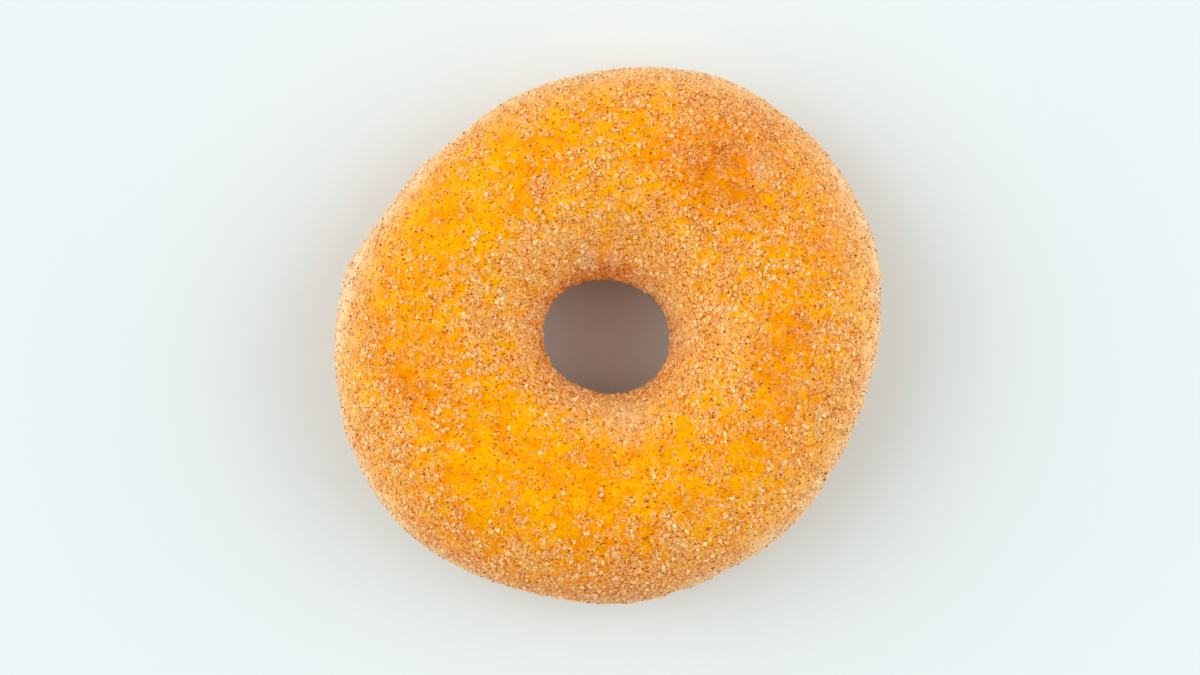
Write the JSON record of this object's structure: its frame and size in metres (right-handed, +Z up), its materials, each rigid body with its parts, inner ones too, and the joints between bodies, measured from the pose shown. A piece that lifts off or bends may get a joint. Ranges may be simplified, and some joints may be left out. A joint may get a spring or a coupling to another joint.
{
  "type": "cinnamon sugar doughnut",
  "caption": "Ring doughnut with a crowned top, a pale line round its side and a hole through the middle, coated all over in cinnamon sugar.",
  "frame": {"origin": "under the middle of the doughnut's box, on the surface that it lies on", "axes": "+Z is up through the hole, +X runs along its longer side and +Y points away from the side that shows its lower crust"},
  "size_m": [0.0956, 0.0934, 0.0318],
  "materials": {
    "sugared_crust": "fried golden-orange crust under a dry, rough coat of cinnamon sugar, with a paler line round the side"
  },
  "bodies": {
    "root": {"doughnut": "sugared_crust"}
  },
  "joints": []
}
